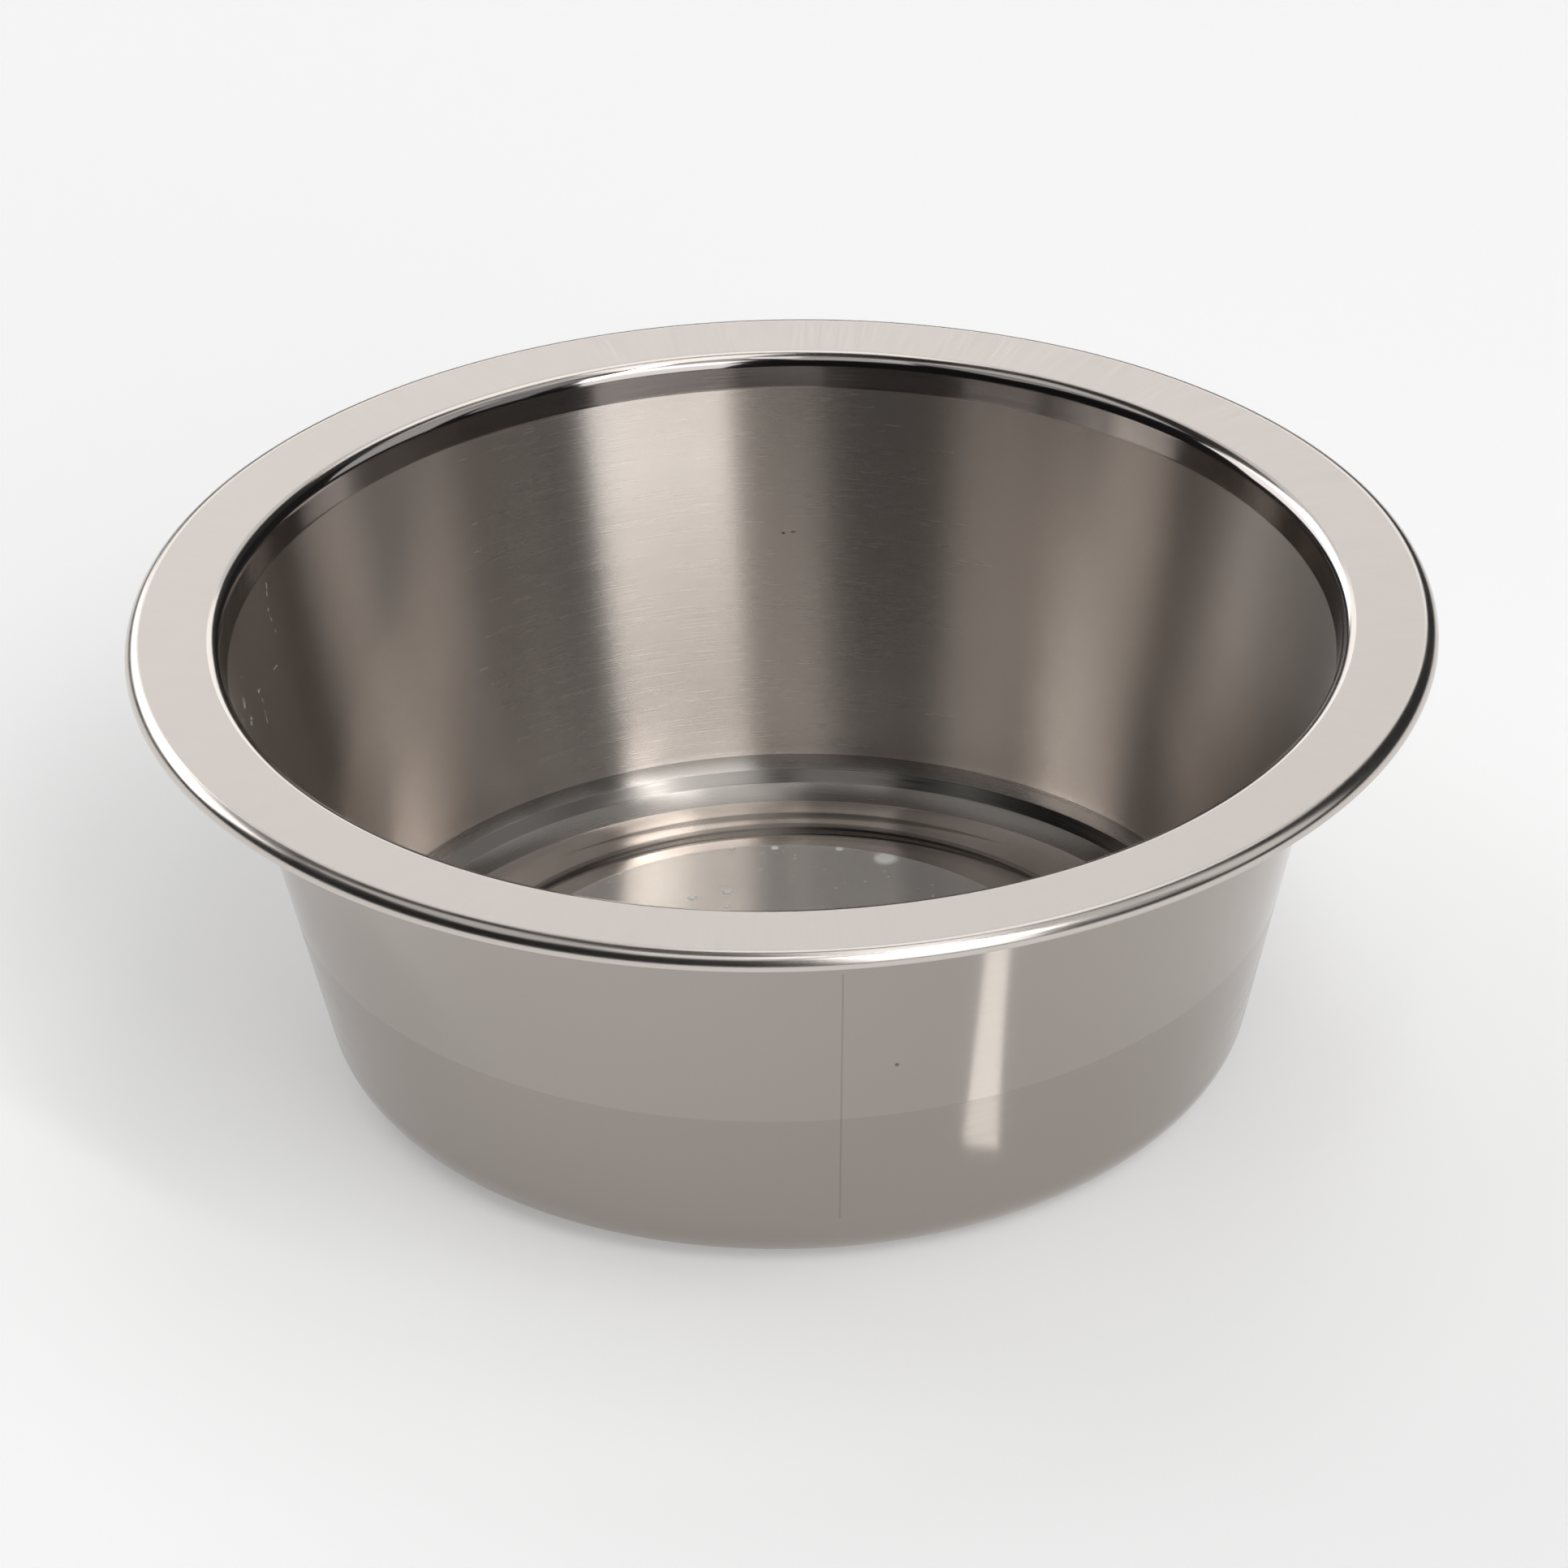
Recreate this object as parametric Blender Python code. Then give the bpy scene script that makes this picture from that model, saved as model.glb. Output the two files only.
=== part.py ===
"""Metal pet bowl with a wide flange: one drawn sheet of stainless steel, with a clear film label on its floor.

Units are metres, +Z is up and the origin is the centre of the circle that the bowl stands on. The bowl is a
solid of revolution: one sheet whose upper and inner face is drawn first, and whose lower and outer face runs
parallel to it at the sheet's thickness.
"""

import math

import bmesh
import bpy
from mathutils import Matrix

# The sheet
SHEET = 0.0007

# Flange and its turned-down edge
RIM_DIAMETER = 0.220
FLANGE_WIDTH = 0.0135
LIP_BEND = 0.0017
LIP_STRAIGHT = 0.0003

# Bowl
BOWL_HEIGHT = 0.080
RIM_BEND = 0.0020
WALL_TAPER = math.radians(12.65)
FOOT_BEND = 0.0103

# Floor: a flat ring to stand on, then a gentle rise to the flat middle
FOOT_RING_WIDTH = 0.0030
FLOOR_RISE = 0.0012
FLOOR_RISE_RUN = 0.0090

# Narrow pressed flat round the inside of the foot bend, from one angle below the horizontal to the other
PRESSED_FROM = math.radians(35)
PRESSED_TO = math.radians(49)

# Film label on the middle of the floor
LABEL_THICKNESS = 0.0001
LABEL_MARGIN = 0.0007
LABEL_OFF_X = -0.0017
LABEL_OFF_Y = 0.0048
ADHESIVE = 0.00002

# Fineness
TURNS = 80
LIP_STEPS = 5
RIM_STEPS = 6
FOOT_STEP = math.radians(10)
RISE_STEPS = 2
LABEL_SIDES = 64

# Sizes that follow from the ones above
RIM_RADIUS = RIM_DIAMETER / 2
FLANGE_INNER_RADIUS = RIM_RADIUS - FLANGE_WIDTH
RISE_ANGLE = 2 * math.atan(FLOOR_RISE / FLOOR_RISE_RUN)
RISE_BEND = (FLOOR_RISE_RUN / math.sin(RISE_ANGLE) - SHEET) / 2


def foot_centre_radius():
    """Radius of the foot bend's centre: the wall runs straight from the rim bend down to it."""
    rim_face = RIM_BEND + SHEET
    wall_top_r = FLANGE_INNER_RADIUS - rim_face * math.cos(WALL_TAPER)
    wall_top_z = BOWL_HEIGHT - rim_face + rim_face * math.sin(WALL_TAPER)
    wall_foot_z = SHEET + FOOT_BEND - FOOT_BEND * math.sin(WALL_TAPER)
    wall_foot_r = wall_top_r - (wall_top_z - wall_foot_z) * math.tan(WALL_TAPER)
    return wall_foot_r - FOOT_BEND * math.cos(WALL_TAPER)


FOOT_CENTRE = foot_centre_radius()
RISE_START = FOOT_CENTRE - FOOT_RING_WIDTH
FLOOR_FLAT_RADIUS = RISE_START - FLOOR_RISE_RUN
FLOOR_TOP = SHEET + FLOOR_RISE


def arc(centre_r, centre_z, radius, start, end, steps):
    """Points on an arc, as (radius, height), with angles from the outward horizontal, upwards positive."""
    angles = [start + (end - start) * i / steps for i in range(steps + 1)]
    return [(centre_r + radius * math.cos(a), centre_z + radius * math.sin(a)) for a in angles]


def lip(depth):
    """The turned-down edge, from its cut edge up to the flange."""
    bend = LIP_BEND + SHEET
    centre_r = RIM_RADIUS - bend
    centre_z = BOWL_HEIGHT - bend
    radius = bend - depth
    cut = [(centre_r + radius, centre_z - LIP_STRAIGHT)]
    return cut + arc(centre_r, centre_z, radius, 0, math.pi / 2, LIP_STEPS)


def rim_bend(depth):
    """The bend from the flange down into the wall."""
    bend = RIM_BEND + SHEET
    wall_side = math.pi - WALL_TAPER
    return arc(FLANGE_INNER_RADIUS, BOWL_HEIGHT - bend, bend - depth, math.pi / 2, wall_side, RIM_STEPS)


def foot_bend(depth):
    """The bend from the wall into the foot ring. Its inner face has the pressed flat, which is a chord."""
    centre_z = SHEET + FOOT_BEND
    radius = FOOT_BEND + depth
    stretches = [(WALL_TAPER, PRESSED_FROM), (PRESSED_FROM, PRESSED_TO), (PRESSED_TO, math.pi / 2)]
    points = []
    for number, (start, end) in enumerate(stretches):
        pressed = number == 1 and depth == 0
        steps = 1 if pressed else max(1, math.ceil((end - start) / FOOT_STEP))
        stretch = arc(FOOT_CENTRE, centre_z, radius, -start, -end, steps)
        points += stretch if not points else stretch[1:]
    return points


def floor(depth):
    """The flat foot ring, the rise and the flat middle, from the outside in to the axis."""
    low_centre = SHEET + RISE_BEND
    between = 2 * RISE_BEND + SHEET
    high_r = RISE_START - between * math.sin(RISE_ANGLE)
    high_z = low_centre - between * math.cos(RISE_ANGLE)
    down = -math.pi / 2
    up = math.pi / 2
    rise = arc(RISE_START, low_centre, RISE_BEND + depth, down, down - RISE_ANGLE, RISE_STEPS)
    rise += arc(high_r, high_z, RISE_BEND + SHEET - depth, up - RISE_ANGLE, up, RISE_STEPS)[1:]
    return rise + [(0.0, FLOOR_TOP - depth)]


def sheet_face(depth):
    """One face of the sheet from its cut edge in to the axis, at a depth below the upper and inner face."""
    return lip(depth) + rim_bend(depth) + foot_bend(depth) + floor(depth)


def steel():
    material = bpy.data.materials.new("brushed_steel")
    material.use_nodes = True
    shader = material.node_tree.nodes["Principled BSDF"]
    shader.inputs["Base Color"].default_value = (0.60, 0.57, 0.54, 1)
    shader.inputs["Metallic"].default_value = 1.0
    shader.inputs["Roughness"].default_value = 0.28
    return material


def clear_film():
    material = bpy.data.materials.new("clear_film")
    material.use_nodes = True
    shader = material.node_tree.nodes["Principled BSDF"]
    shader.inputs["Base Color"].default_value = (0.90, 0.90, 0.88, 1)
    shader.inputs["Metallic"].default_value = 0.0
    shader.inputs["Roughness"].default_value = 0.12
    shader.inputs["Alpha"].default_value = 0.25
    return material


def add_object(name, bm, material):
    """A named object with this mesh, smooth on its round faces and sharp at its creases."""
    mesh = bpy.data.meshes.new(name)
    bm.to_mesh(mesh)
    bm.free()
    mesh.shade_smooth()
    mesh.set_sharp_from_angle(angle=math.radians(30))
    mesh.materials.append(material)
    obj = bpy.data.objects.new(name, mesh)
    bpy.context.scene.collection.objects.link(obj)
    return obj


def bowl_shell():
    """The two faces of the sheet joined at the cut edge, turned once round the axis."""
    inner = sheet_face(0.0)
    outer = sheet_face(SHEET)
    profile = inner[::-1] + outer
    bm = bmesh.new()
    points = [bm.verts.new((r, 0, z)) for r, z in profile]
    for first, second in zip(points, points[1:]):
        bm.edges.new((first, second))
    bmesh.ops.spin(
        bm,
        geom=bm.verts[:] + bm.edges[:],
        cent=(0, 0, 0),
        axis=(0, 0, 1),
        angle=2 * math.pi,
        steps=TURNS,
        use_merge=True,
    )
    bmesh.ops.remove_doubles(bm, verts=bm.verts, dist=1e-6)
    bmesh.ops.recalc_face_normals(bm, faces=bm.faces)
    return add_object("bowl_shell", bm, steel())


def floor_label():
    """A round film that just fits on the flat middle of the floor, off centre as it was stuck on."""
    radius = FLOOR_FLAT_RADIUS - math.hypot(LABEL_OFF_X, LABEL_OFF_Y) - LABEL_MARGIN
    bm = bmesh.new()
    bmesh.ops.create_cone(
        bm,
        cap_ends=True,
        segments=LABEL_SIDES,
        radius1=radius,
        radius2=radius,
        depth=LABEL_THICKNESS,
        matrix=Matrix.Translation((0, 0, LABEL_THICKNESS / 2)),
    )
    label = add_object("floor_label", bm, clear_film())
    label.location = (LABEL_OFF_X, LABEL_OFF_Y, FLOOR_TOP + ADHESIVE)
    return label


def main():
    for old in list(bpy.data.objects):
        bpy.data.objects.remove(old)
    shell = bowl_shell()
    label = floor_label()
    label.parent = shell


main()
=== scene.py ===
# %% [markdown]
# # A stainless steel pet bowl
#
# The real bowl is one blank of sheet steel, 0.7 mm thick, pressed into a flat flange, a tapered wall and a
# floor. A clear round film lies on the floor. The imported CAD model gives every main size, so this lesson
# loads it first, keeps its box, and then makes a finer bowl and film in the same place.

import math

import bmesh
import bpy
from mathutils import Matrix, Vector


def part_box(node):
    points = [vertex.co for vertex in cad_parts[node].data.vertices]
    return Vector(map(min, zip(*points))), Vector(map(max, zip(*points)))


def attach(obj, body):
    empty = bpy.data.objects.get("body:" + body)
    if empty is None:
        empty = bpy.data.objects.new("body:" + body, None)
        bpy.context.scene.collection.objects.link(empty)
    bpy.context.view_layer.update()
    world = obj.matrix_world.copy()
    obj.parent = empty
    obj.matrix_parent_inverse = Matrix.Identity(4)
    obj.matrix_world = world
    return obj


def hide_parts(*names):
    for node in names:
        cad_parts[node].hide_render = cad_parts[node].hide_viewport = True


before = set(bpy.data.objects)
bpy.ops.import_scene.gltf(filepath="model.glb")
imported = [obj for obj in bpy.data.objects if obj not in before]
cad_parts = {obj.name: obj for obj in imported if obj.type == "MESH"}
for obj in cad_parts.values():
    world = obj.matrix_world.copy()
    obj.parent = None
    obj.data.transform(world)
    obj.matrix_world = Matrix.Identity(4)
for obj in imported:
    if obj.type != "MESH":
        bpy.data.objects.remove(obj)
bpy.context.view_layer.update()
SHELL_LOW, SHELL_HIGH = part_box("bowl_shell")
FILM_LOW, FILM_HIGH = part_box("floor_label")
RIM_RADIUS = SHELL_HIGH[0]
BOWL_HEIGHT = SHELL_HIGH[2]

# %% [markdown]
# ## The camera
#
# The photograph looks down at the bowl at 30.4 degrees with a long lens, and the camera was rolled by about
# one degree. A long lens shows almost no perspective, so the far side of the rim looks nearly as wide as the
# near side. The camera is set by its distance to the middle of the rim, its tilt and its roll.

# %% Place the camera
LENS = 186.335
ELEVATION = math.radians(30.375)
ROLL = math.radians(1.233)
RIM_MIDDLE_IN_VIEW = Vector((-0.0046, 0.2592, -12.3657)) * RIM_RADIUS

camera_data = bpy.data.cameras.new("camera")
camera_data.lens = LENS
camera_data.sensor_width = 36
camera_data.clip_start = 0.05
camera = bpy.data.objects.new("camera", camera_data)
turn = Matrix.Rotation(math.pi / 2 - ELEVATION, 4, "X") @ Matrix.Rotation(-ROLL, 4, "Z")
camera.matrix_world = Matrix.Translation((0, 0, BOWL_HEIGHT)) @ turn @ Matrix.Translation(-RIM_MIDDLE_IN_VIEW)
bpy.context.scene.collection.objects.link(camera)
bpy.context.scene.camera = camera
print("camera at", [round(c, 3) for c in camera.matrix_world.translation])

# %% [markdown]
# ## A pen that draws the sheet's section
#
# A pressed sheet is straight runs joined by bends, so its section is drawn the way a bending drawing reads:
# go straight this far, turn this much round this radius. Blender's own operators do both. Extruding the
# last point and moving it makes a straight run, and spinning the last point round a centre makes a bend.
# Each straight run has a very short first and last step, which keep the shading of a bend out of the flat.

# %% The pen
SHORT_STEP = 0.00012
WEDGES = 16


def pen_at(radius, height, heading):
    """A pen with its first point in the XZ plane. The heading is an angle up from the +X direction."""
    bm = bmesh.new()
    tip = bm.verts.new((radius, 0, height))
    return {"bm": bm, "tip": tip, "heading": math.radians(heading), "strips": []}


def step(pen, length):
    made = bmesh.ops.extrude_vert_indiv(pen["bm"], verts=[pen["tip"]])
    pen["tip"] = made["verts"][0]
    way = Vector((math.cos(pen["heading"]), 0, math.sin(pen["heading"])))
    bmesh.ops.translate(pen["bm"], verts=[pen["tip"]], vec=way * length)


def straight(pen, length, steps=1):
    step(pen, SHORT_STEP)
    for _ in range(steps):
        step(pen, (length - 2 * SHORT_STEP) / steps)
    step(pen, SHORT_STEP)


def bend(pen, radius, degrees, steps):
    """Turns left for positive degrees and right for negative ones, round a centre at that side."""
    turned = math.radians(degrees)
    across = pen["heading"] + math.copysign(math.pi / 2, turned)
    centre = pen["tip"].co + radius * Vector((math.cos(across), 0, math.sin(across)))
    made = bmesh.ops.spin(
        pen["bm"], geom=[pen["tip"]], cent=centre, axis=(0, -1, 0), angle=turned, steps=steps
    )
    pen["tip"] = next(item for item in made["geom_last"] if isinstance(item, bmesh.types.BMVert))
    pen["heading"] += turned


def ridge(pen, degrees, length):
    """A low fold, twice this length: a little to the right, back across and straight on again."""
    for side in (-1, 1):
        slant = side * math.radians(degrees)
        pen["heading"] += slant
        step(pen, length / math.cos(slant))
        pen["heading"] -= slant


def strip(pen, finish):
    """Marks everything drawn since the last strip as having one finish."""
    used = {edge for edges, _ in pen["strips"] for edge in edges}
    pen["strips"].append(([edge for edge in pen["bm"].edges if edge not in used], finish))


def turn_on_axis(pen, turns):
    """Spins each strip through one wedge, gives its faces their finish, repeats the wedge and joins all."""
    bm = pen["bm"]
    wedge = 2 * math.pi / WEDGES
    for edges, finish in pen["strips"]:
        before = set(bm.faces)
        points = list(dict.fromkeys(vert for edge in edges for vert in edge.verts))
        bmesh.ops.spin(
            bm, geom=points + edges, cent=(0, 0, 0), axis=(0, 0, 1), angle=wedge, steps=turns // WEDGES
        )
        for face in set(bm.faces) - before:
            face.material_index = finish
    bmesh.ops.spin(
        bm,
        geom=bm.verts[:] + bm.edges[:] + bm.faces[:],
        cent=(0, 0, 0),
        axis=(0, 0, 1),
        angle=2 * math.pi - wedge,
        steps=WEDGES - 1,
        use_duplicate=True,
    )
    bmesh.ops.remove_doubles(bm, verts=bm.verts, dist=1e-6)
    bmesh.ops.recalc_face_normals(bm, faces=bm.faces)
    return bm


def piece(name, bm, materials):
    """An object at the origin with this mesh, smooth all over, and these materials in its slots."""
    mesh = bpy.data.meshes.new(name)
    bm.to_mesh(mesh)
    bm.free()
    mesh.shade_smooth()
    for material in materials:
        mesh.materials.append(material)
    made = bpy.data.objects.new(name, mesh)
    bpy.context.scene.collection.objects.link(made)
    low, high = [[f(v.co[i] for v in mesh.vertices) for i in range(3)] for f in (min, max)]
    size = [round((high[i] - low[i]) * 1000, 2) for i in range(3)]
    print(name, "faces:", len(mesh.polygons), "size in mm:", size)
    return made


# %% [markdown]
# ## The bowl's sizes
#
# The rim radius and the height come from the CAD box. The bends are the press tool's own radii, which the
# CAD model also has. The polished band starts with a fine crease just inside the flange and ends in a low
# ridge a few millimetres down the wall. Outside, the press left a level line round the wall. The steel below
# it is a little darker, which is painted shade: it stands in for the shadow on the floor that the lower wall
# reflects.
#
# A finish can change part of the way round a bend. POLISH_FROM and RIM_LOW_FROM are angles round the rim
# bend, counted from the flange. WALL_INTO_FOOT and FOOT_BELOW_BAND are stretches of the foot bend, in
# degrees: the one that still has the wall's finish, and the one below the pressed flat that has the foot's.

# %% Sizes of the sheet
SHEET = 0.0007
CUT_EDGE_ROUND = 0.00015
FLANGE_WIDTH = 0.0135
LIP_BEND = 0.0024
LIP_STRAIGHT = 0.0003
RIM_BEND = 0.0027
TAPER = 12.65
FOOT_BEND = 0.0103
PRESSED_FROM = 35
PRESSED_TO = 49
FOOT_RING_WIDTH = 0.0030
FLOOR_RISE = 0.0012
FLOOR_RISE_RUN = 0.0090
POLISH_FROM = 6
RIM_LOW_FROM = 40
WALL_INTO_FOOT = 7
FOOT_BELOW_BAND = 21
POLISH_RUN = 0.0035
POLISH_EDGE = 0.0002
CREASE = 0.00012
DRAW_LINE_HEIGHT = 0.033
DRAW_LINE = 0.0003
TURNS = 320

rise_angle = 2 * math.degrees(math.atan(FLOOR_RISE / FLOOR_RISE_RUN))
rise_bend = (FLOOR_RISE_RUN / math.sin(math.radians(rise_angle)) - SHEET) / 2
taper = math.radians(TAPER)
bends = RIM_BEND + FOOT_BEND
wall_drop = BOWL_HEIGHT - SHEET - bends * (1 - math.sin(taper))
wall_run = wall_drop / math.cos(taper)
foot_centre = RIM_RADIUS - FLANGE_WIDTH - bends * math.cos(taper) - wall_drop * math.tan(taper)
flat_radius = foot_centre - FOOT_RING_WIDTH - FLOOR_RISE_RUN
print("wall run, mm:", round(wall_run * 1000, 2), "flat middle, mm:", round(flat_radius * 2000, 2))

# %% [markdown]
# ## How steel gets its looks
#
# Every finish is bare metal: the colour is the tint that stainless steel gives to what it reflects, and all
# the rest is roughness and fine relief. A brushed wall is scratched in rings, so its relief changes fast up
# the wall and slowly round it. The ground flange is scratched across. One helper makes such a pattern from
# Object coordinates: the direction round the axis, stretched one way, and the height or radius, stretched
# the other way. It has no seam, because it never cuts the circle open.

# %% Helpers for materials
STEEL = (0.610, 0.565, 0.527, 1)


def steel_material(name, roughness, anisotropic=0.0, rotation=0.0, colour=STEEL):
    """A metal shader with its constants set on its own sockets."""
    material = bpy.data.materials.new(name)
    material.use_nodes = True
    shader = material.node_tree.nodes["Principled BSDF"]
    shader.inputs["Base Color"].default_value = colour
    shader.inputs["Metallic"].default_value = 1.0
    shader.inputs["Roughness"].default_value = roughness
    shader.inputs["Anisotropic"].default_value = anisotropic
    shader.inputs["Anisotropic Rotation"].default_value = rotation
    if anisotropic:
        tangent = material.node_tree.nodes.new("ShaderNodeTangent")
        tangent.direction_type = "RADIAL"
        tangent.axis = "Z"
        material.node_tree.links.new(tangent.outputs["Tangent"], shader.inputs["Tangent"])
    return material


def math_node(tree, operation, first, second=None):
    node = tree.nodes.new("ShaderNodeMath")
    node.operation = operation
    for socket, value in zip(node.inputs, (first, second)):
        if value is None:
            continue
        if isinstance(value, (int, float)):
            socket.default_value = value
        else:
            tree.links.new(value, socket)
    return node.outputs[0]


def vector_node(tree, operation, first, second=None):
    node = tree.nodes.new("ShaderNodeVectorMath")
    node.operation = operation
    for socket, value in zip(node.inputs, (first, second)):
        if value is None:
            continue
        if isinstance(value, (tuple, Vector)):
            socket.default_value = value
        else:
            tree.links.new(value, socket)
    return node.outputs["Value" if operation in ("LENGTH", "DOT_PRODUCT") else "Vector"]


def here(tree):
    """The shaded point in Object coordinates, in metres from the bowl's origin."""
    return tree.nodes.new("ShaderNodeTexCoord").outputs["Object"]


def ring_vector(tree, around, radial, upright):
    """Direction round the axis times around, with radius times radial and height times upright as its Z."""
    flat = vector_node(tree, "MULTIPLY", here(tree), (1, 1, 0))
    height = vector_node(tree, "DOT_PRODUCT", here(tree), (0, 0, upright))
    reach = math_node(tree, "MULTIPLY", vector_node(tree, "LENGTH", flat), radial)
    wide = vector_node(tree, "MULTIPLY", vector_node(tree, "NORMALIZE", flat), (around, around, 0))
    level = math_node(tree, "ADD", reach, height)
    return vector_node(tree, "ADD", wide, vector_node(tree, "MULTIPLY", level, (0, 0, 1)))


def noise(tree, vector, scale=1.0, detail=2.0, roughness=0.5):
    node = tree.nodes.new("ShaderNodeTexNoise")
    node.inputs["Scale"].default_value = scale
    node.inputs["Detail"].default_value = detail
    node.inputs["Roughness"].default_value = roughness
    tree.links.new(vector, node.inputs["Vector"])
    return node.outputs["Fac"]


def fit(tree, value, low, high, to_low, to_high):
    """Maps low..high to to_low..to_high and holds the ends."""
    node = tree.nodes.new("ShaderNodeMapRange")
    node.inputs["From Min"].default_value = low
    node.inputs["From Max"].default_value = high
    node.inputs["To Min"].default_value = to_low
    node.inputs["To Max"].default_value = to_high
    tree.links.new(value, node.inputs["Value"])
    return node.outputs["Result"]


def relief(material, height, depth):
    """Adds a bump of this many metres to the shader, after any bump that it already has."""
    tree = material.node_tree
    shader = tree.nodes["Principled BSDF"]
    bump = tree.nodes.new("ShaderNodeBump")
    bump.inputs["Strength"].default_value = 1.0
    bump.inputs["Distance"].default_value = depth
    tree.links.new(height, bump.inputs["Height"])
    earlier = shader.inputs["Normal"].links
    if earlier:
        tree.links.new(earlier[0].from_socket, bump.inputs["Normal"])
    tree.links.new(bump.outputs["Normal"], shader.inputs["Normal"])


def vary_roughness(material, value, low, high):
    """Roughness between these two. Noise runs from about 0.3 to 0.7, and less often further."""
    tree = material.node_tree
    tree.links.new(fit(tree, value, 0.3, 0.7, low, high), tree.nodes["Principled BSDF"].inputs["Roughness"])


# %% [markdown]
# ## How a single mark is made
#
# A used bowl has marks besides its finish: a pit and a few scratches inside, and a dark upright line outside.
# Each is a mask in Object coordinates, round one point or along one line, measured in millimetres. The mask
# then stains the steel, or breaks its polish so that it scatters light.

# %% Helpers for marks
def spot(tree, middle, half_widths):
    """One in the middle of an ellipsoid, fading to zero at its edge. In millimetres."""
    away = vector_node(tree, "SUBTRACT", here(tree), Vector(middle) / 1000)
    share = vector_node(tree, "DIVIDE", away, Vector(half_widths) / 1000)
    return fit(tree, vector_node(tree, "LENGTH", share), 0.5, 1.0, 1.0, 0.0)


def line(tree, start, end, half_width):
    """One along a straight line between two points, fading to zero at its edge. In millimetres."""
    start, end = Vector(start) / 1000, Vector(end) / 1000
    way = (end - start).normalized()
    length = (end - start).length
    away = vector_node(tree, "SUBTRACT", here(tree), start)
    along = fit(tree, vector_node(tree, "DOT_PRODUCT", away, way), 0, length, 0, length)
    nearest = vector_node(tree, "MULTIPLY", along, way)
    gap = vector_node(tree, "LENGTH", vector_node(tree, "SUBTRACT", away, nearest))
    return fit(tree, gap, half_width / 3000, half_width / 1000, 1.0, 0.0)


def strongest(tree, masks):
    total = masks[0]
    for mask in masks[1:]:
        total = math_node(tree, "MAXIMUM", total, mask)
    return total


def broken(tree, mask, scale):
    """The same mask with gaps in it."""
    gaps = fit(tree, noise(tree, here(tree), scale=scale, detail=3), 0.42, 0.58, 0.0, 1.0)
    return math_node(tree, "MULTIPLY", mask, gaps)


def stain(material, mask, colour):
    """Blends the base colour into this one where the mask is one."""
    tree = material.node_tree
    base = tree.nodes["Principled BSDF"].inputs["Base Color"]
    mix = tree.nodes.new("ShaderNodeMix")
    mix.data_type = "RGBA"
    first, second = [socket for socket in mix.inputs if socket.type == "RGBA"]
    first.default_value = base.default_value
    second.default_value = colour
    if base.links:
        tree.links.new(base.links[0].from_socket, first)
    tree.links.new(mask, mix.inputs["Factor"])
    tree.links.new(next(socket for socket in mix.outputs if socket.type == "RGBA"), base)


def scatter(material, mask, share):
    """Breaks the polish where the mask is one: this share of the light spreads instead of mirroring."""
    tree = material.node_tree
    metal = fit(tree, mask, 0.0, 1.0, 1.0, 1.0 - share)
    tree.links.new(metal, tree.nodes["Principled BSDF"].inputs["Metallic"])


# %% [markdown]
# ## The steel finishes
#
# The flange is ground satin, with short scratches that run across it. The lip and the rim bend are polished
# on a wheel. The wall is brushed in rings, so it blurs reflections up and down far more than sideways, which
# is what the anisotropic setting does. The floor is the bright sheet as it left the press.
#
# The rings and a slight ripple show best on the far wall, so a soft mask fades them out elsewhere. The lower
# rim bend, the pressed flat and the foot bend look darker than the steel beside them, because they reflect
# dark parts of the room. Each of the three has a darker steel colour of its own: painted shade that stands in
# for those dark reflections.

# %% Flange and lip
flange_steel = steel_material("satin_flange", 0.34)
tree = flange_steel.node_tree
across = noise(tree, ring_vector(tree, 420, 90, 0), detail=3)
vary_roughness(flange_steel, across, 0.30, 0.38)
relief(flange_steel, across, 0.0000015)

lip_steel = steel_material("polished_lip", 0.22)
tree = lip_steel.node_tree
vary_roughness(lip_steel, noise(tree, ring_vector(tree, 12, 200, 200)), 0.20, 0.24)

# %% Rim bend
# The lower rim bend's darker steel colour is painted shade: it stands in for the dark room that this polished
# bend reflects.
BEND_PAINTED_SHADE = (0.330, 0.308, 0.298, 1)

rim_steel = steel_material("polished_rim_bend", 0.14, anisotropic=0.8, rotation=0.25)
tree = rim_steel.node_tree
vary_roughness(rim_steel, noise(tree, ring_vector(tree, 5, 2500, 2500)), 0.11, 0.17)

bend_steel_painted_shade = steel_material("polished_bend_low_painted_shade", 0.10, anisotropic=0.7, rotation=0.25, colour=BEND_PAINTED_SHADE)
tree = bend_steel_painted_shade.node_tree
vary_roughness(bend_steel_painted_shade, noise(tree, ring_vector(tree, 5, 2500, 2500)), 0.07, 0.13)

# %% Wall
STREAKED = ((-14, 88, 42), (64, 52, 90))
FAINT_RINGS = 0.3
RIPPLE_DEPTH = 0.000004

wall_steel = steel_material("brushed_wall", 0.26, anisotropic=1.0, rotation=0.25)
tree = wall_steel.node_tree
streaked = spot(tree, *STREAKED)
share = fit(tree, streaked, 0.0, 1.0, FAINT_RINGS, 1.0)
rings = noise(tree, ring_vector(tree, 4, 0, 5200), detail=3, roughness=0.6)
swing = math_node(tree, "MULTIPLY", math_node(tree, "SUBTRACT", rings, 0.5), share)
vary_roughness(wall_steel, math_node(tree, "ADD", swing, 0.5), 0.24, 0.28)
ripples = noise(tree, ring_vector(tree, 5, 0, 1000), detail=3, roughness=0.6)
relief(wall_steel, math_node(tree, "MULTIPLY", ripples, streaked), RIPPLE_DEPTH)

# %% Pressed band and foot bend
# The pressed flat's dark steel colour is painted shade: it stands in for the dark surroundings that the flat
# reflects.
BAND_PAINTED_SHADE = (0.150, 0.140, 0.130, 1)
# The foot bend's darker steel colour is painted shade: it stands in for the dark surroundings that the bend
# reflects.
FOOT_PAINTED_SHADE = (0.300, 0.280, 0.260, 1)

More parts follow.
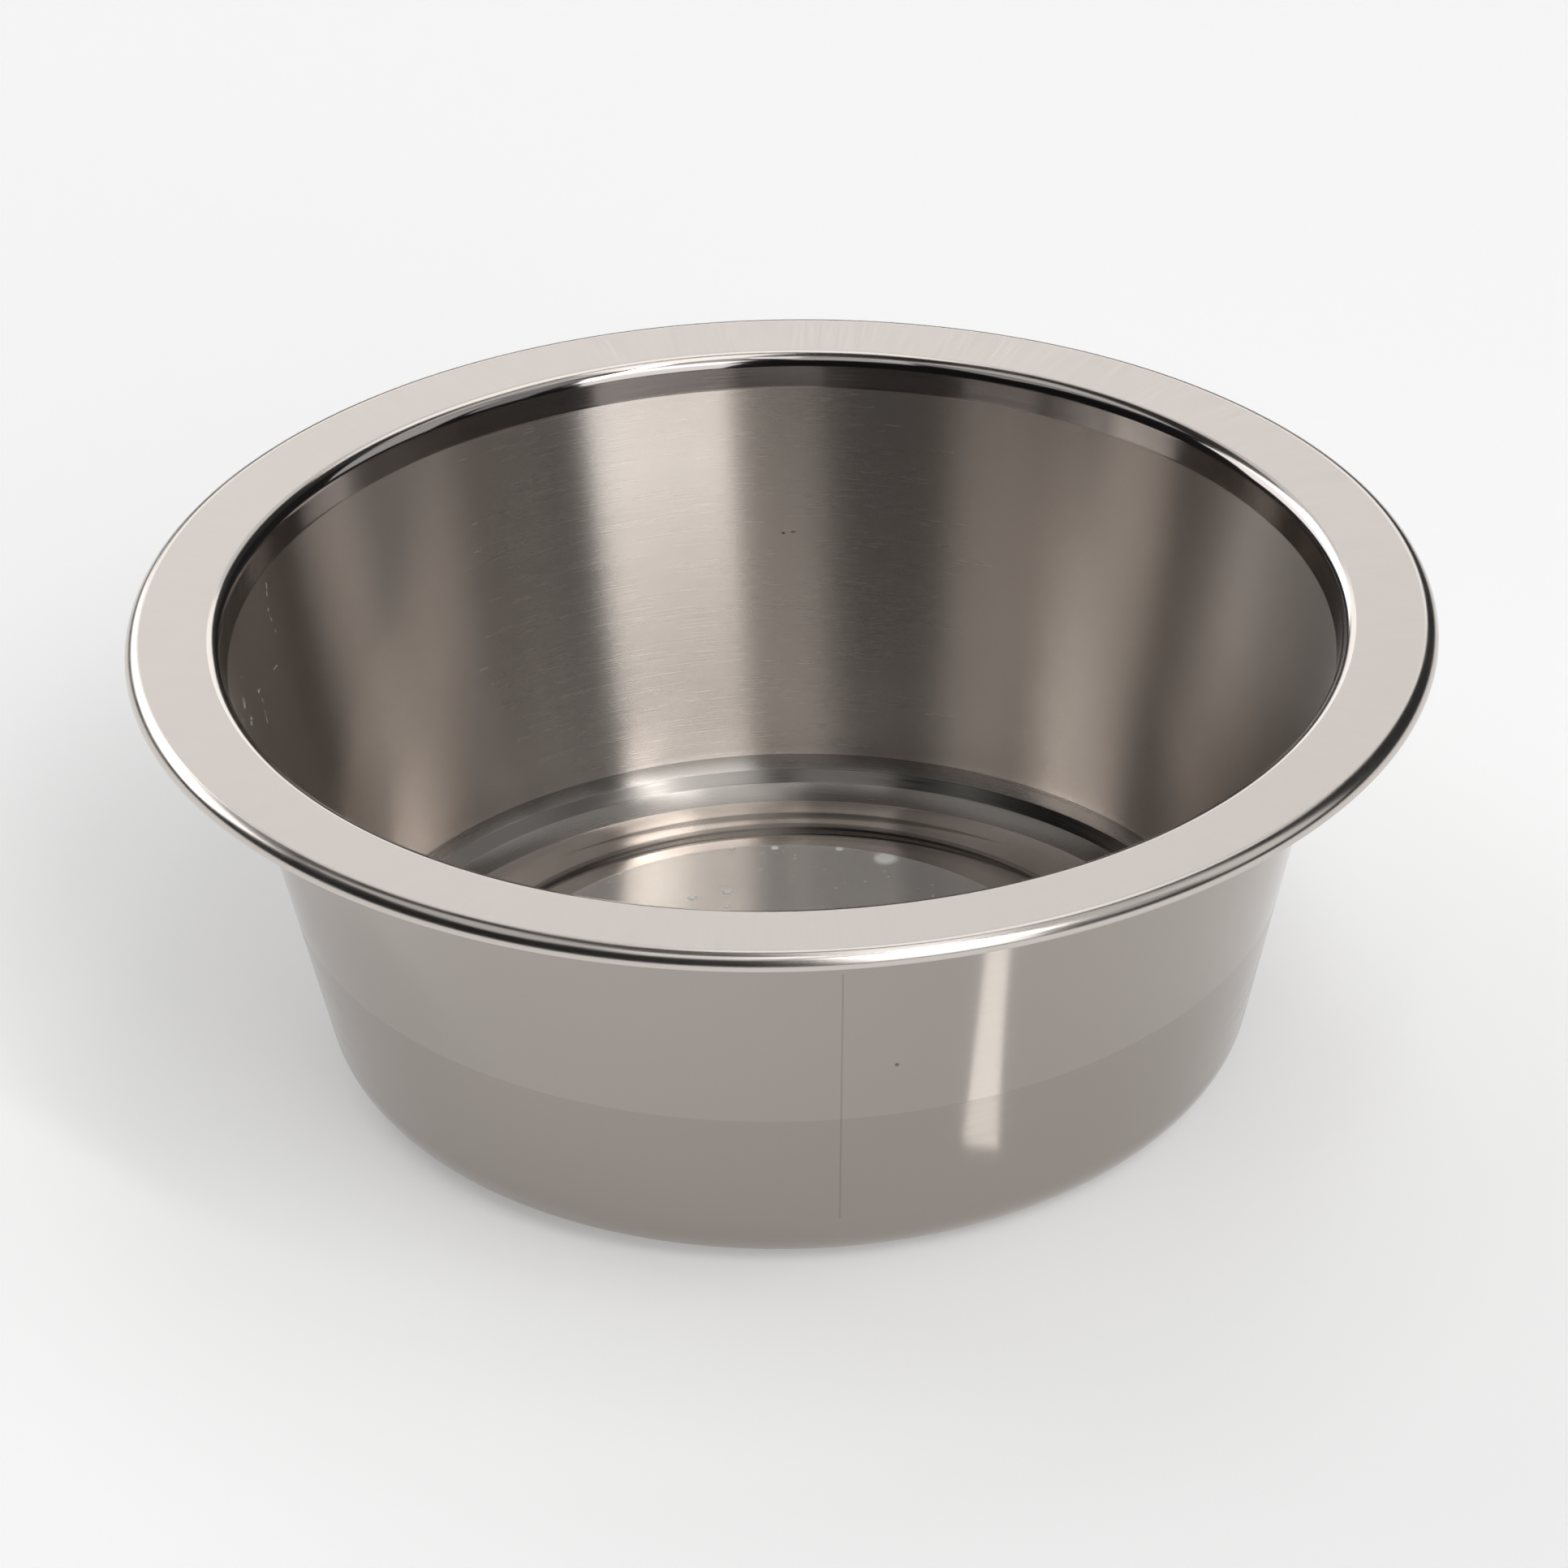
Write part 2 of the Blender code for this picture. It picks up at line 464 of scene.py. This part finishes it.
band_steel_painted_shade = steel_material("pressed_band_painted_shade", 0.20, anisotropic=0.4, rotation=0.25, colour=BAND_PAINTED_SHADE)
tree = band_steel_painted_shade.node_tree
vary_roughness(band_steel_painted_shade, noise(tree, ring_vector(tree, 5, 0, 5000)), 0.16, 0.24)

foot_steel_painted_shade = steel_material("brushed_foot_painted_shade", 0.26, anisotropic=1.0, rotation=0.25, colour=FOOT_PAINTED_SHADE)
tree = foot_steel_painted_shade.node_tree
vary_roughness(foot_steel_painted_shade, noise(tree, ring_vector(tree, 4, 0, 5200), detail=3), 0.24, 0.28)

# %% Floor and outside
FLOOR_STEEL = (0.520, 0.480, 0.445, 1)
# The outside steel colour is darker than the inner steel: painted shade, standing in for the shaded floor
# near the bowl that the outer wall reflects.
OUTSIDE_PAINTED_SHADE = (0.415, 0.378, 0.347, 1)
# Below the level line the outside is darker still: painted shade, standing in for the shadow under the flange
# on the floor that the lower wall reflects.
LOW_PAINTED_SHADE = (0.378, 0.342, 0.312, 1)

floor_steel = steel_material("bright_floor", 0.07, colour=FLOOR_STEEL)
tree = floor_steel.node_tree
grain = noise(tree, here(tree), scale=2600, detail=2)
vary_roughness(floor_steel, grain, 0.05, 0.09)
relief(floor_steel, grain, 0.0000012)

outside_steel_painted_shade = steel_material("outside_wall_painted_shade", 0.12, colour=OUTSIDE_PAINTED_SHADE)
low_steel_painted_shade = steel_material("outside_wall_low_painted_shade", 0.15, colour=LOW_PAINTED_SHADE)
for material, low, high in ((outside_steel_painted_shade, 0.10, 0.14), (low_steel_painted_shade, 0.13, 0.18)):
    tree = material.node_tree
    vary_roughness(material, noise(tree, ring_vector(tree, 6, 0, 1200)), low, high)

# %% [markdown]
# ## The marks of use
#
# Inside on the left the wall has fine crossing scratches that catch the light. There is one small pit in the
# far wall. Outside, one long dark upright line runs down the front, and a speck sits beside it. Their
# places are read off the photograph and put on the bowl.

# %% Marks on the inner wall
PALE = (0.80, 0.78, 0.75, 1)
DARK = (0.05, 0.045, 0.04, 1)
SCRATCHES = [
    ((-88.0, 28.9, 72.3), (-87.7, 26.4, 67.8), 0.12),
    ((-87.7, 26.4, 67.8), (-86.5, 26.8, 63.2), 0.12),
    ((-86.55, 23.25, 59.0), (-89.1, 12.1, 60.35), 0.16),
    ((-88.6, 12.75, 58.55), (-87.75, 11.3, 53.9), 0.13),
    ((-90.75, -5.4, 64.7), (-89.4, 9.8, 60.5), 0.16),
    ((-89.5, 18.0, 66.3), (-91.3, 4.9, 67.1), 0.10),
]
RUBS = [
    ((-90.85, 0.8, 64.5), (1.2, 2.2, 1.2)),
    ((-89.9, 2.2, 60.35), (1.2, 1.8, 1.0)),
    ((-89.1, 12.1, 60.35), (0.5, 0.6, 0.5)),
]
SCAR_SCATTER = 0.8
PITS = [((0.75, 87.13, 47.9), (0.45, 1.0, 0.24)), ((2.5, 87.14, 48.1), (0.6, 1.0, 0.16))]

tree = wall_steel.node_tree
fine = broken(tree, strongest(tree, [line(tree, *place) for place in SCRATCHES]), 900)
rubbed = broken(tree, strongest(tree, [spot(tree, *place) for place in RUBS]), 2200)
scars = math_node(tree, "MAXIMUM", fine, rubbed)
scatter(wall_steel, scars, SCAR_SCATTER)
stain(wall_steel, scars, PALE)
stain(wall_steel, strongest(tree, [spot(tree, *place) for place in PITS]), DARK)

# %% Marks on the outside
LINE_TURN = -84.6
LINE_FROM = 11
LINE_TO = 65
LINE_HALF_WIDTH = 0.22
LINE_DARKNESS = 0.22
SPECK = ((17.1, -85.6, 44.2), (0.5, 0.8, 0.5))
SPECK_DARKNESS = 0.7


def on_outside(turn, height):
    """A point of the outer wall in millimetres, at this turn from +X in degrees and this height."""
    slope = math.tan(taper)
    radius = (foot_centre + (FOOT_BEND + SHEET) / math.cos(taper)) * 1000
    radius += (height - (FOOT_BEND + SHEET) * 1000) * slope
    return (radius * math.cos(math.radians(turn)), radius * math.sin(math.radians(turn)), height)


# A dark upright line down the front: the steel's colour is darkened along it.
for material in (outside_steel_painted_shade, low_steel_painted_shade):
    tree = material.node_tree
    ends = [on_outside(LINE_TURN, height) for height in (LINE_FROM, LINE_TO)]
    dark_line = line(tree, *ends, LINE_HALF_WIDTH)
    stain(material, math_node(tree, "MULTIPLY", dark_line, LINE_DARKNESS), DARK)
tree = outside_steel_painted_shade.node_tree
stain(outside_steel_painted_shade, math_node(tree, "MULTIPLY", spot(tree, *SPECK), SPECK_DARKNESS), DARK)

# %% [markdown]
# ## The bowl
#
# The pen starts in the middle of the cut edge, under the turned-down lip, and follows the upper face in to
# the middle of the floor. There a second pen follows the lower face back to the cut edge, with each radius
# larger or smaller by the sheet's thickness. Wherever the finish changes, a strip ends.

# %% Draw the section and turn it
FINISHES = [flange_steel, lip_steel, rim_steel, bend_steel_painted_shade, wall_steel, foot_steel_painted_shade]
FINISHES += [band_steel_painted_shade, floor_steel, outside_steel_painted_shade, low_steel_painted_shade]
FLANGE, LIP, RIM, RIM_LOW, WALL, FOOT, BAND, FLOOR, OUTSIDE, OUTSIDE_LOW = range(len(FINISHES))

pen = pen_at(RIM_RADIUS - SHEET / 2, BOWL_HEIGHT - LIP_BEND - LIP_STRAIGHT, 0)
step(pen, SHEET / 2 - CUT_EDGE_ROUND)
bend(pen, CUT_EDGE_ROUND, 90, 3)
step(pen, LIP_STRAIGHT - CUT_EDGE_ROUND)
bend(pen, LIP_BEND, 90, 14)
strip(pen, LIP)
straight(pen, FLANGE_WIDTH - LIP_BEND - 2 * CREASE, 3)
ridge(pen, -3, CREASE)
bend(pen, RIM_BEND, POLISH_FROM, 3)
strip(pen, FLANGE)
bend(pen, RIM_BEND, RIM_LOW_FROM - POLISH_FROM, 7)
strip(pen, RIM)
bend(pen, RIM_BEND, 90 - TAPER - RIM_LOW_FROM, 8)
step(pen, POLISH_RUN)
ridge(pen, 4, POLISH_EDGE)
strip(pen, RIM_LOW)
straight(pen, wall_run - POLISH_RUN - 2 * POLISH_EDGE, 6)
bend(pen, FOOT_BEND, -WALL_INTO_FOOT, 2)
strip(pen, WALL)
bend(pen, FOOT_BEND, TAPER + WALL_INTO_FOOT - PRESSED_FROM, 5)
strip(pen, FOOT)
chord_turn = math.radians(PRESSED_TO - PRESSED_FROM) / 2
pen["heading"] -= chord_turn
straight(pen, 2 * FOOT_BEND * math.sin(chord_turn))
pen["heading"] -= chord_turn
strip(pen, BAND)
bend(pen, FOOT_BEND, -FOOT_BELOW_BAND, 7)
strip(pen, FOOT)
bend(pen, FOOT_BEND, PRESSED_TO + FOOT_BELOW_BAND - 90, 5)
straight(pen, FOOT_RING_WIDTH)
bend(pen, rise_bend, -rise_angle, 5)
bend(pen, rise_bend + SHEET, rise_angle, 5)
straight(pen, flat_radius, 5)
strip(pen, FLOOR)
pen["tip"] = pen["bm"].verts.new((0, 0, pen["tip"].co.z - SHEET))
pen["heading"] = 0
straight(pen, flat_radius, 3)
bend(pen, rise_bend, -rise_angle, 5)
bend(pen, rise_bend + SHEET, rise_angle, 5)
straight(pen, FOOT_RING_WIDTH)
bend(pen, FOOT_BEND + SHEET, 90 - TAPER, 18)
lower_run = (DRAW_LINE_HEIGHT - pen["tip"].co.z) / math.cos(taper)
straight(pen, lower_run - DRAW_LINE, 3)
ridge(pen, 2, DRAW_LINE)
strip(pen, OUTSIDE_LOW)
straight(pen, wall_run - lower_run - DRAW_LINE, 4)
bend(pen, RIM_BEND - SHEET, TAPER - 90, 8)
straight(pen, FLANGE_WIDTH - LIP_BEND, 2)
bend(pen, LIP_BEND - SHEET, -90, 8)
step(pen, LIP_STRAIGHT - CUT_EDGE_ROUND)
bend(pen, CUT_EDGE_ROUND, 90, 3)
step(pen, SHEET / 2 - CUT_EDGE_ROUND)
strip(pen, OUTSIDE)

bowl = piece("drawn_bowl", turn_on_axis(pen, TURNS), FINISHES)
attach(bowl, "root")
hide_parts("bowl_shell")

# %% [markdown]
# ## The clear film on the floor
#
# A thin round film is stuck to the flat middle of the floor, a few millimetres off centre. It is a disc
# with a rounded edge, drawn with the same pen, turned and then moved to its place. Small bubbles of air
# lift it here and there, so its upper points near each bubble are raised in a low dome.

# %% The film
FILM_TURNS = 512
film_radius = (FILM_HIGH[0] - FILM_LOW[0]) / 2
film_middle = Vector(((FILM_HIGH[0] + FILM_LOW[0]) / 2, (FILM_HIGH[1] + FILM_LOW[1]) / 2, 0))
film_thickness = FILM_HIGH[2] - FILM_LOW[2]
CLEAR = 0.90
HAZY = 0.45
BUBBLE_HEIGHT = 0.00006
BUBBLES = [
    (-9.6, 54.4, 0.7),
    (-2.0, 54.2, 0.9),
    (9.5, 53.4, 0.9),
    (17.6, 49.8, 2.6),
    (-10.5, 39.5, 1.15),
    (-16.8, 37.7, 0.95),
    (-10.6, 34.5, 0.6),
]

film = bpy.data.materials.new("clear_film")
film.use_nodes = True
shader = film.node_tree.nodes["Principled BSDF"]
shader.inputs["Base Color"].default_value = (0.93, 0.93, 0.92, 1)
shader.inputs["IOR"].default_value = 1.35
shader.inputs["Roughness"].default_value = 0.12
tree = film.node_tree
vary_roughness(film, noise(tree, ring_vector(tree, 3, 60, 0), detail=3), 0.10, 0.18)
bubble_masks = [spot(tree, (x, y, 2), (radius, radius, 2)) for x, y, radius in BUBBLES]
specks = fit(tree, noise(tree, here(tree), scale=1800, detail=1), 0.68, 0.76, 0.0, 0.5)
haze = math_node(tree, "MAXIMUM", strongest(tree, bubble_masks), specks)
clear = fit(tree, haze, 0.0, 1.0, CLEAR, HAZY)
tree.links.new(clear, shader.inputs["Transmission Weight"])

pen = pen_at(0, FILM_LOW[2], 0)
straight(pen, film_radius - film_thickness / 2, 2)
bend(pen, film_thickness / 2, 180, 6)
straight(pen, film_radius - film_thickness / 2, 140)
strip(pen, 0)
bm = turn_on_axis(pen, FILM_TURNS)
bmesh.ops.translate(bm, verts=bm.verts, vec=film_middle)
for x, y, radius in BUBBLES:
    middle = Vector((x, y, 0)) / 1000
    for vert in bm.verts:
        away = math.dist(vert.co.xy, middle.xy) * 1000 / radius
        if away < 1 and vert.co.z > FILM_HIGH[2] - film_thickness / 4:
            vert.co.z += BUBBLE_HEIGHT * (1 - away * away) ** 2
disc = piece("floor_film", bm, [film])
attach(disc, "root")
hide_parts("floor_label")

# %% [markdown]
# ## The floor
#
# The bowl stands on a large sheet of pale paper. The paper is a plain matt surface, so it keeps the bowl's
# shadow. A part of its paleness is added only for rays that look at it, straight from the camera, in metal
# or through film: that makes the background pale without more light falling on the bowl.

# %% The floor
PAPER = 0.80
PAPER_GLOW = 0.28


def looked_at(tree):
    """One for rays from the camera, from a shiny surface or through a clear one, and zero for the rest."""
    path = tree.nodes.new("ShaderNodeLightPath")
    shiny = math_node(tree, "MAXIMUM", path.outputs["Is Camera Ray"], path.outputs["Is Glossy Ray"])
    return math_node(tree, "MAXIMUM", shiny, path.outputs["Is Transmission Ray"])


floor_bm = bmesh.new()
bmesh.ops.create_circle(floor_bm, cap_ends=True, segments=96, radius=4.0)
paper = bpy.data.materials.new("pale_paper")
paper.use_nodes = True
shader = paper.node_tree.nodes["Principled BSDF"]
shader.inputs["Base Color"].default_value = (PAPER, PAPER, PAPER, 1)
shader.inputs["Roughness"].default_value = 0.9
shader.inputs["Specular IOR Level"].default_value = 0.0
shader.inputs["Emission Color"].default_value = (1, 1, 1, 1)
tree = paper.node_tree
glow = math_node(tree, "MULTIPLY", looked_at(tree), PAPER_GLOW)
tree.links.new(glow, shader.inputs["Emission Strength"])
ground = piece("ground", floor_bm, [paper])

# %% [markdown]
# ## The studio light
#
# Polished steel has almost no colour of its own, so what it looks like is what stands round it. The light
# is a dim room that is brighter behind the bowl, and a few soft boxes. Each soft box is an area light that
# fills a window of azimuth, measured clockwise from behind the bowl, and of elevation. Setting them by the
# brightness of their face, not by their power, keeps a larger box from being a brighter one.

# %% Soft boxes
LIGHT_DISTANCE = 3.0
LIGHT_AIM = Vector((0, 0, 0.05))


def area_light(name, length, width, brightness, place):
    """A rectangular light that the camera doesn't see. The brightness is that of its face."""
    light = bpy.data.lights.new(name, "AREA")
    light.shape = "RECTANGLE"
    light.size = length
    light.size_y = width
    light.energy = brightness * math.pi * length * width
    lamp = bpy.data.objects.new(name, light)
    lamp.matrix_world = place
    lamp.visible_camera = False
    bpy.context.scene.collection.objects.link(lamp)
    print(name, "size in m:", round(length, 3), "by", round(width, 3))


def soft_box(name, azimuth, width, low, high, brightness):
    """An area light facing the bowl, which fills this window. The angles are in degrees."""
    middle = math.radians((low + high) / 2)
    across = 2 * LIGHT_DISTANCE * math.cos(middle) * math.tan(math.radians(width / 2))
    upright = 2 * LIGHT_DISTANCE * math.tan(math.radians((high - low) / 2))
    turn = Matrix.Rotation(-math.radians(azimuth), 4, "Z") @ Matrix.Rotation(middle - math.pi / 2, 4, "X")
    place = Matrix.Translation(LIGHT_AIM) @ turn @ Matrix.Translation((0, 0, LIGHT_DISTANCE))
    area_light(name, across, upright, brightness, place)


soft_box("key_box", 152, 38, 38, 56, 3.6)
soft_box("key_high_box", 152, 38, 56, 74, 1.0)
soft_box("key_edge_box", 138, 5, 34, 70, 11.0)
soft_box("key_low_box", 155, 32, 6, 38, 2.1)
soft_box("key_side_box", 120, 18, 20, 60, 0.45)
soft_box("top_box", 80, 120, 74, 89, 1.6)
soft_box("camera_top_box", 180, 18, 62, 76, 1.5)
soft_box("camera_left_box", -160, 40, 50, 74, 1.0)
soft_box("left_top_box", -97, 75, 48, 74, 0.6)
soft_box("right_top_box", 88, 50, 50, 74, 0.6)
soft_box("back_box", 0, 36, 16, 31, 1.5)
soft_box("back_high_box", 0, 40, 31, 46, 0.8)
soft_box("back_top_box", 12, 42, 46, 66, 1.5)
soft_box("back_left_box", -45, 54, 14, 40, 2.6)
soft_box("right_box", 91, 33, 15, 50, 0.8)

# %% [markdown]
# The highlight down the front right of the outer wall comes from a bright strip that lies low beside the
# bowl. It is a light too, flat on the paper and facing up.
#
# The world is the dim room. Only a ray that comes straight from the camera sees it as a pale backdrop, so
# that a low view keeps a pale background while the steel keeps its dark reflections.

# %% The low strip
STRIP_LENGTH = 0.052
STRIP_WIDTH = 0.009
STRIP_MIDDLE = Vector((0.062, -0.102, 0.001))
STRIP_TURN = math.radians(-43.5)
STRIP_BRIGHTNESS = 0.98

facing_up = Matrix.Rotation(STRIP_TURN, 4, "Z") @ Matrix.Rotation(math.pi, 4, "X")
strip_place = Matrix.Translation(STRIP_MIDDLE) @ facing_up
area_light("low_strip", STRIP_LENGTH, STRIP_WIDTH, STRIP_BRIGHTNESS, strip_place)

# %% The world
BACKDROP = 0.887
ROOM = 0.015
SWEEP = 0.03

world = bpy.data.worlds.new("studio")
bpy.context.scene.world = world
world.use_nodes = True
tree = world.node_tree
place = tree.nodes.new("ShaderNodeTexCoord")
split = tree.nodes.new("ShaderNodeSeparateXYZ")
tree.links.new(place.outputs["Generated"], split.inputs[0])
room = fit(tree, split.outputs["Y"], -0.3, 0.6, ROOM, SWEEP)
path = tree.nodes.new("ShaderNodeLightPath")
pale = math_node(tree, "MULTIPLY", path.outputs["Is Camera Ray"], BACKDROP)
tree.links.new(math_node(tree, "MAXIMUM", room, pale), tree.nodes["Background"].inputs["Strength"])
tree.nodes["Background"].inputs["Color"].default_value = (1, 1, 1, 1)

bpy.context.scene.view_settings.view_transform = "Standard"
